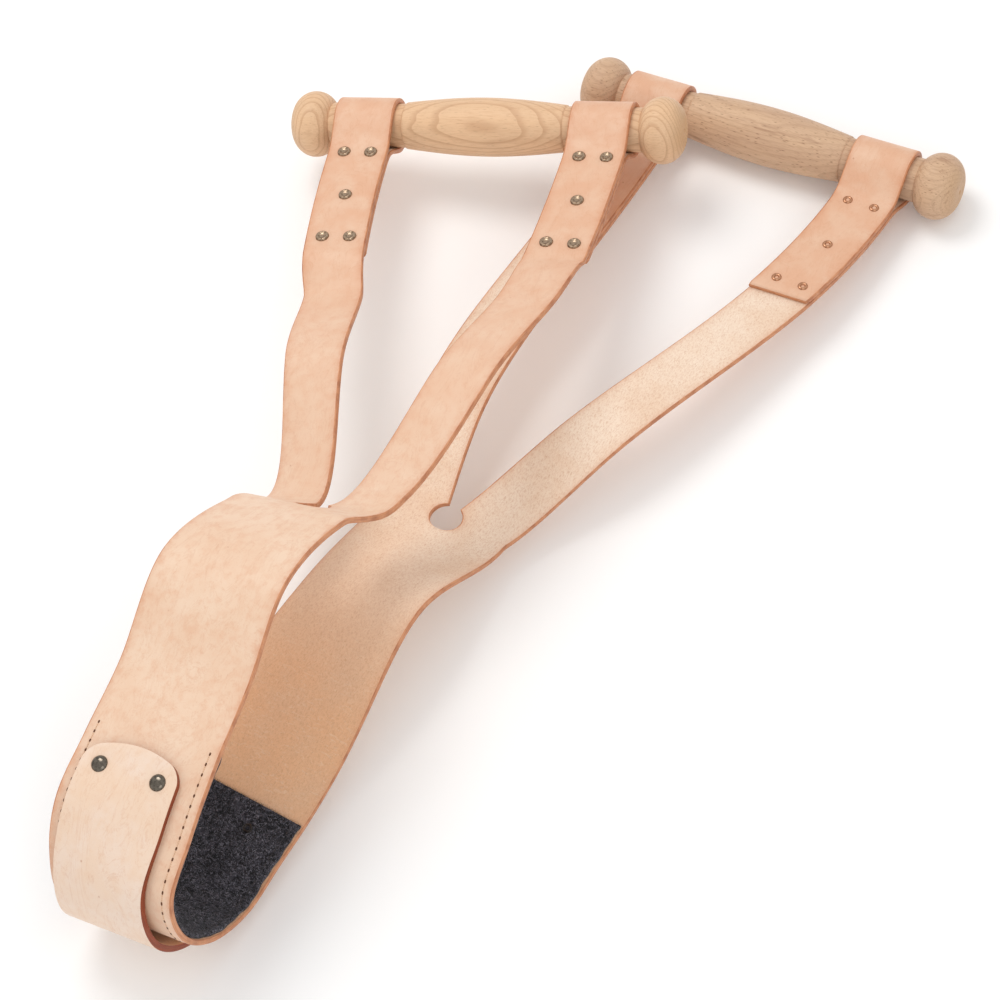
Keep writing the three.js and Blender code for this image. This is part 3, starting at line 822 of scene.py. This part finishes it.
def slab(name, columns, rows, place, materials, bevel):
    """A sheet with thickness. `place` turns column and row fractions and a level into pattern points."""
    us, vs = np.meshgrid(np.linspace(0, 1, columns + 1), np.linspace(0, 1, rows + 1))
    layers = [place(us.ravel(), vs.ravel(), level) for level in (0, 1)]
    verts = np.vstack(layers)
    per_row, layer = columns + 1, len(layers[0])
    faces, paint = [], []
    for r in range(rows):
        for c in range(columns):
            a = r * per_row + c
            quad = [a, a + 1, a + 1 + per_row, a + per_row]
            faces.append([i + layer for i in quad])
            faces.append(quad[::-1])
            paint += [0, 1]
    ring = list(range(columns)) + [r * per_row + columns for r in range(rows)]
    ring += [rows * per_row + c for c in range(columns, 0, -1)]
    ring += [r * per_row for r in range(rows, 0, -1)]
    for a, b in zip(ring, ring[1:] + ring[:1]):
        faces.append([a, b, b + layer, a + layer])
        paint.append(2)
    piece = make_piece(name, bent(verts), faces, materials, paint,
                       pattern=verts, edge=np.zeros(len(verts)))
    rounding = piece.modifiers.new("rounding", "BEVEL")
    rounding.width = bevel * MM
    rounding.segments = BEVEL_SEGMENTS
    rounding.limit_method = "ANGLE"
    rounding.angle_limit = BEVEL_OVER
    apply_modifiers(piece)
    shade_smooth(piece.data)
    return piece


PATCH_COLUMNS, PATCH_ROWS, PATCH_BEVEL = 36, 90, 0.7
PATCH_DENT = 0.5
PATCH_DENT_REACH = 7


def from_patch_rivet(x, y, side):
    """Distance from the nearer rivet on one side, with x from the patch's middle."""
    return np.hypot(x - side * PATCH_RIVET_SPACING / 2, np.abs(y - PATCH_AT) - PATCH_RIVET_AT)


def patch_reach(x):
    """How far the patch reaches from its middle, with arched ends and rounded corners."""
    arch = PATCH_ARCH * (x / PATCH_HALF_WIDTH) ** 2
    into = np.clip(np.abs(x) - (PATCH_HALF_WIDTH - PATCH_CORNER), 0, PATCH_CORNER)
    return PATCH_END - arch - (PATCH_CORNER - np.sqrt(PATCH_CORNER**2 - into**2))


def place_patch(u, v, level):
    """The patch lies close to the band, except round the fold."""
    x = PATCH_HALF_WIDTH * np.sin((u - 0.5) * math.pi)
    row = PATCH_END * (2 * v - 1)
    beyond = np.maximum(0, np.abs(row) - PATCH_STRAIGHT) / (PATCH_END - PATCH_STRAIGHT)
    straight = np.minimum(np.abs(row), PATCH_STRAIGHT)
    y = PATCH_AT + np.sign(row) * (straight + (patch_reach(x) - straight) * beyond)
    standoff = PATCH_STANDOFF * np.cos(np.clip(np.abs(y) / STANDOFF_END, 0, 1) * math.pi / 2) ** 2
    dent = sum(dimple(from_patch_rivet(x, y, side), PATCH_DENT, PATCH_DENT_REACH) for _, side in SIDES)
    z = OUTER_FACE + PATCH_AIR + standoff + PATCH * level - dent * level
    return np.stack([PATCH_SHIFT + x, y, z], 1)


patch = slab("wear_patch_leather", PATCH_COLUMNS, PATCH_ROWS, place_patch,
             [MATERIALS["patch_grain"], MATERIALS["flesh"], MATERIALS["patch_edge"]], PATCH_BEVEL)
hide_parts("wear_patch")
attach(patch, "cradle")


FELT_COLUMNS, FELT_ROWS, FELT_BEVEL = 42, 130, 0.8
FELT_HALF_WIDTH = BAND_WIDTH / 2 - FELT_INSET
STITCH_PULL, STITCH_PULL_REACH = 0.7, 1.8
RIVET_PULL, RIVET_PULL_REACH = 0.8, 5
ON_RIM = 0.999


def rim_wander(y):
    """How far the felt's cut sides wander, as scissors leave them."""
    return 0.35 * np.sin(y * 0.21) + 0.25 * np.sin(y * 0.53 + 1.7)


def felt_lumps(x, y):
    """Small unevenness of the felt's face."""
    return 0.12 * np.sin(x * 0.9 + 2 * np.sin(y * 0.31)) * np.sin(y * 0.7 + x * 0.13)


def place_felt(u, v, level):
    """The felt lies on the band's inner face, and the stitches and rivets pull it in."""
    part = 2 * u - 1
    x = FELT_HALF_WIDTH * part
    y = FELT_AT + FELT_END * (2 * v - 1)
    x = x + np.where(np.abs(part) > ON_RIM, np.sign(x) * rim_wander(y), 0)
    sewn = np.abs(y - FELT_AT) < STITCH_END + 1
    pulled = 0
    for _, side in SIDES:
        seam = side * (BAND_WIDTH / 2 - STITCH_INSET)
        pulled = pulled + dimple(x - seam, STITCH_PULL, STITCH_PULL_REACH) * sewn
        away = from_patch_rivet(x - PATCH_SHIFT, y, side)
        pulled = pulled + dimple(away, RIVET_PULL, RIVET_PULL_REACH)
    z = INNER_FACE - FELT * (1 - level) + np.where(level == 0, felt_lumps(x, y) + pulled, 0)
    return np.stack([x, y, z], 1)


felt = slab("felt_lining", FELT_COLUMNS, FELT_ROWS, place_felt, [MATERIALS["felt"]] * 3, FELT_BEVEL)
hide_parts("felt_pad")
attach(felt, "cradle")

FUZZ_SEED = 7
FUZZ_STRANDS = 5200
FUZZ_LENGTH = (0.8, 2.2)
FUZZ_THICK = (0.03, 0.06)
FUZZ_TAPER = 0.4
STRAND_SIDES = 3


def strand_root(random, i):
    """Where a loose fibre starts and which way it stands. Every fourth one is on the felt's rim."""
    y = FELT_AT + random.uniform(-FELT_END, FELT_END)
    x = random.uniform(-FELT_HALF_WIDTH, FELT_HALF_WIDTH)
    z = INNER_FACE - FELT + 0.1
    lift = [random.normal(0, 1), random.normal(0, 1), -random.uniform(0.2, 0.8)]
    if i % 8 == 0:
        z = INNER_FACE - random.uniform(0.3, FELT)
        side = random.choice((-1, 1))
        x = FELT_HALF_WIDTH * side
        lift = [side * 0.6, random.normal(0, 1), random.normal(0, 0.5)]
    elif i % 4 == 0:
        z = INNER_FACE - random.uniform(0.3, FELT)
        end = random.choice((-1, 1))
        y = FELT_AT + FELT_END * end
        lift = [random.normal(0, 1), end * 0.6, random.normal(0, 0.5)]
    return np.array([x, y, z]), np.array(lift)


def strand_ring(radius):
    turns = [2 * math.pi * a / STRAND_SIDES for a in range(STRAND_SIDES)]
    return [radius * np.array([math.cos(t), math.sin(t), math.cos(t + 1)]) for t in turns]


def felt_fuzz():
    """Loose fibres that stand off the felt's face and rim."""
    random = np.random.default_rng(FUZZ_SEED)
    verts, faces = [], []
    for i in range(FUZZ_STRANDS):
        root, lift = strand_root(random, i)
        lift = lift / np.linalg.norm(lift) * random.uniform(*FUZZ_LENGTH)
        curl = random.normal(0, 0.5, 3)
        thick = random.uniform(*FUZZ_THICK)
        base = len(verts)
        for s, centre in enumerate((root, root + 0.5 * lift + 0.4 * curl, root + lift)):
            verts += [centre + corner for corner in strand_ring(thick * (1 - FUZZ_TAPER * s))]
        faces += tube_faces(base, 3, STRAND_SIDES)
        faces += [[base, base + 1, base + 2], [base + 8, base + 7, base + 6]]
    verts = np.array(verts)
    return make_piece("felt_fuzz", bent(verts), faces, [MATERIALS["fuzz"]], pattern=verts)


fuzz = felt_fuzz()
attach(fuzz, "cradle")


# ---- Stitches ----

# Each bar is (length, width, height, shift in pitches, z).
THREAD_BAR = (4.2, 0.7, 0.22, 0.0, OUTER_FACE)
# Dark bars between the stitches stand for the needle holes: painted shade on a small bump, not a recess.
NEEDLE_HOLE_SHADE = (1.9, 1.15, 0.25, 0.5, OUTER_FACE)
LINING_BAR = (4.6, 0.8, 0.4, 0.0, INNER_FACE - FELT + 0.6)
BAR_END_SIZE = 0.05


def capsule(length, width, height):
    """A small rounded bar along Y that bulges towards Z."""
    verts = []
    steps, sides = 8, 10
    for i in range(steps + 1):
        angle = math.pi * i / steps
        y = -math.cos(angle) * length / 2
        size = math.sin(angle) ** 0.5 if 0 < i < steps else BAR_END_SIZE
        for a in range(sides):
            turn = 2 * math.pi * a / sides
            verts.append((size * width / 2 * math.cos(turn), y, size * height * math.sin(turn)))
    faces = tube_faces(0, steps + 1, sides)
    faces += [list(range(sides)), [steps * sides + a for a in range(sides)][::-1]]
    return np.array(verts), faces


def stitches(name, side, bars, materials):
    """Repeats each bar along one seam, in its own material."""
    x = side * (BAND_WIDTH / 2 - STITCH_INSET)
    verts, faces, paint = [], [], []
    base = 0
    for material, (length, width, height, shift, z) in enumerate(bars):
        bar, bar_faces = capsule(length, width, height)
        for i in range(int(2 * STITCH_END / STITCH_PITCH)):
            y = FELT_AT - STITCH_END + (i + 0.5 + shift) * STITCH_PITCH
            verts.append(bar + (x, y, z))
            faces += [[k + base for k in face] for face in bar_faces]
            paint += [material] * len(bar_faces)
            base += len(bar)
    verts = np.vstack(verts)
    piece = make_piece(name, bent(verts), faces, materials, paint, pattern=verts)
    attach(piece, "cradle")
    return piece


for side_name, side in SIDES:
    seam = stitches(f"stitches_{side_name}", side, [THREAD_BAR, NEEDLE_HOLE_SHADE],
                    [MATERIALS["thread"], MATERIALS["hole"]])
    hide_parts(f"stitch_row_{side_name}")
    stitches(f"lining_stitches_{side_name}", side, [LINING_BAR], [MATERIALS["dark_thread"]])


# ---- Rivets ----

RIVET_SEGMENTS = 40
SHANK_RADIUS = 1.6
SHANK_OVERLAP = 0.2
STRAP_CAP_SINKS = 0.4
PATCH_CAP_SINKS = 0.5
FELT_RING_SINKS = 0.8

# Turned outlines as (radius, height over the face that each lies on).
STRAP_CAP = [
    (0, 0.75), (1.4, 0.8), (2.1, 1.0), (2.7, 1.45), (3.3, 1.6), (3.9, 1.35), (4.25, 0.8), (4.35, 0.15),
    (4.2, -0.1),
]
PATCH_CAP = [
    (0, 2.5), (1.5, 2.42), (2.9, 2.1), (3.9, 1.55), (4.6, 0.85), (4.95, 0.3), (5.0, 0.0), (4.8, -0.15),
]
ROLLED_RING = [
    (3.1, 0.1), (3.15, -0.35), (2.85, -0.8), (2.35, -1.0), (1.8, -0.95), (1.35, -0.6), (1.15, 0.0),
    (1.1, 1.2), (0, 1.3),
]


def rivet(name, cap, top, bottom, at, node, body, slot, materials):
    """A cap outside and a rolled ring inside, on a shank through the leather."""
    profile = [(r, z + top) for r, z in cap]
    profile += [(SHANK_RADIUS, top - SHANK_OVERLAP), (SHANK_RADIUS, bottom + SHANK_OVERLAP)]
    profile += [(r, z + bottom) for r, z in ROLLED_RING]
    verts, faces = lathe(profile[::-1], RIVET_SEGMENTS)
    rolled = [int(max(verts[i][2] for i in face) < (top + bottom) / 2) for face in faces]
    piece = make_piece(name, verts, faces, materials, rolled, pattern=verts)
    piece.data.transform(frame_on(*at))
    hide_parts(node)
    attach(piece, body)


STRAP_RIVET = dict(
    cap=STRAP_CAP,
    top=LEATHER / 2 - STRAP_CAP_SINKS,
    bottom=-LEATHER / 2 - PLY_GAP - LEATHER + STRAP_CAP_SINKS,
    slot="bronze_rivet",
    materials=[MATERIALS["bronze"], MATERIALS["copper"]],
)
PATCH_RIVET = dict(
    cap=PATCH_CAP,
    # The domed cap takes the nickel with the painted dark reflection.
    top=OUTER_FACE + PATCH_AIR + PATCH - PATCH_CAP_SINKS,
    # The rolled ring on the felt side takes the painted shade of its recess.
    bottom=INNER_FACE - FELT + FELT_RING_SINKS,
    slot="nickel_rivet",
    materials=[MATERIALS["nickel"], MATERIALS["lip_in_painted_shade"]],
)

for layer, end, body in LAYERS:
    for side_name, side in SIDES:
        for i, (back, outwards) in enumerate(RIVET_ROWS, 1):
            rivet(f"{layer}_{side_name}_tubular_rivet_{i}", at=on_strap(end, side, back, outwards),
                  node=f"{layer}_{side_name}_rivet_{i}", body=body, **STRAP_RIVET)
        at = (PATCH_SHIFT + side * PATCH_RIVET_SPACING / 2, PATCH_AT + end * PATCH_RIVET_AT)
        rivet(f"{layer}_{side_name}_domed_rivet", at=at,
              node=f"patch_rivet_{layer}_{side_name}", body="cradle", **PATCH_RIVET)


# ---- Handles ----

HANDLE_SEGMENTS = 96
CURVE_POINTS = 40
KNOB_MIDDLE, KNOB_REACH = 0.45, 0.55     # parts of the knob's length
KNOB_CURVE_START = -0.75                 # in quarter turns before the knob's middle

# Short stretches of the outline, as (radius, distance from where each belongs).
INTO_NECK = [(SHOULDER_RADIUS - 0.2, 0.5), (NECK_RADIUS + 0.15, 0.9), (NECK_RADIUS, 1.4)]
OUT_OF_NECK = [(NECK_RADIUS, -1.2), (NECK_RADIUS - 0.2, -0.4)]
CENTRE_MARK = [(3.0, 0), (1.6, -0.15), (1.0, -0.9), (0, -1.1)]   # left by the lathe


def handle_profile():
    """The turned outline as (radius, distance from the middle), from one end to the other."""
    half = HANDLE_LENGTH / 2
    neck_out = half - KNOB_LENGTH
    neck_in = 2 * STRAP_SPREAD - neck_out
    side = []
    for k in np.linspace(0, 1, CURVE_POINTS):
        radius = SHOULDER_RADIUS + (GRIP_RADIUS - SHOULDER_RADIUS) * math.cos(k * math.pi / 2)
        side.append((radius, k * neck_in))
    side += [(radius, neck_in + past) for radius, past in INTO_NECK]
    side += [(radius, neck_out + past) for radius, past in OUT_OF_NECK]
    for k in np.linspace(KNOB_CURVE_START, 1, CURVE_POINTS):
        angle = k * math.pi / 2
        radius = KNOB_FLAT_RADIUS + (KNOB_RADIUS - KNOB_FLAT_RADIUS) * math.cos(angle)
        side.append((radius, neck_out + KNOB_LENGTH * (KNOB_MIDDLE + KNOB_REACH * math.sin(angle))))
    side += [(radius, half + past) for radius, past in CENTRE_MARK]
    return [(radius, -at) for radius, at in side[:0:-1]] + side


def handle(layer, end, body, shift, material):
    verts, faces = lathe(handle_profile(), HANDLE_SEGMENTS)
    along_x = np.stack([verts[:, 2], verts[:, 1], -verts[:, 0]], 1)
    piece = make_piece(f"{layer}_turned_handle", along_x, faces, [material], pattern=along_x)
    piece.data.transform(frame_on(shift, end * HANDLE_AT, -HANDLE_DROP))
    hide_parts(f"{layer}_handle")
    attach(piece, body)


handle("front", 1, "front_handle", FRONT_SHIFT, MATERIALS["front_beech"])
handle("back", -1, "back_handle", BACK_SHIFT, MATERIALS["back_beech"])


# ---- Floor, light and camera ----

FLOOR_SIZE = 6.0
FLOOR_LEVEL = -0.0004        # just under the lowest leather
SKY_STRENGTH = 0.83
LIT_POINT = (0, 0, 0.05)
LIGHTS = (
    dict(name="key", place=(-0.9, 0.5, 2.0), size=1.1, power=15, colour=(1.0, 0.98, 0.95)),
    dict(name="fill", place=(1.4, -1.4, 1.5), size=1.4, power=6, colour=(0.97, 0.98, 1.0)),
)


def floor():
    white = Paint("floor_white", Base_Color=rgb(0.995, 0.995, 0.995), Roughness=0.9, Specular_IOR_Level=0.2)
    corners = ((-1, -1), (1, -1), (1, 1), (-1, 1))
    verts = [(x * FLOOR_SIZE, y * FLOOR_SIZE, FLOOR_LEVEL) for x, y in corners]
    make_piece("floor", verts, [[0, 1, 2, 3]], [white.material])


def area_light(name, place, size, power, colour):
    light = bpy.data.lights.new(name, "AREA")
    light.shape = "DISK"
    light.size = size
    light.energy = power
    light.color = colour
    lamp = add_object(name, light)
    lamp.location = place
    lamp.rotation_mode = "QUATERNION"
    lamp.rotation_quaternion = (Vector(LIT_POINT) - Vector(place)).to_track_quat("-Z", "Y")


def camera():
    """A long lens over the sling's front right, turned, tilted and rolled about its middle."""
    azimuth, elevation, roll = math.radians(41.1), math.radians(54.4), math.radians(-13.6)
    distance = 1.995
    pivot = Vector((np.array([0, 350, 40]) + SHIFT) * MM)
    level = math.cos(elevation)
    back = Vector((math.sin(azimuth) * level, -math.cos(azimuth) * level, math.sin(elevation)))
    right = Vector((math.cos(azimuth), math.sin(azimuth), 0))
    up = back.cross(right)
    right, up = (right * math.cos(roll) + up * math.sin(roll), up * math.cos(roll) - right * math.sin(roll))
    data = bpy.data.cameras.new("camera")
    data.lens = 118.6
    data.sensor_width = 36
    data.shift_x = 0.0678
    data.shift_y = -0.0517
    data.clip_start = 0.05
    data.clip_end = 50
    piece = add_object("camera", data)
    rotation = Matrix((right, up, back)).transposed().to_4x4()
    piece.matrix_world = Matrix.Translation(pivot + back * distance) @ rotation
    bpy.context.scene.camera = piece


def sky():
    world = bpy.data.worlds.new("studio")
    bpy.context.scene.world = world
    world.use_nodes = True
    background = world.node_tree.nodes["Background"]
    background.inputs[0].default_value = (1.0, 1.0, 1.0, 1.0)
    background.inputs[1].default_value = SKY_STRENGTH


bpy.context.scene.view_settings.view_transform = "Standard"
floor()
sky()
for light in LIGHTS:
    area_light(**light)
camera()
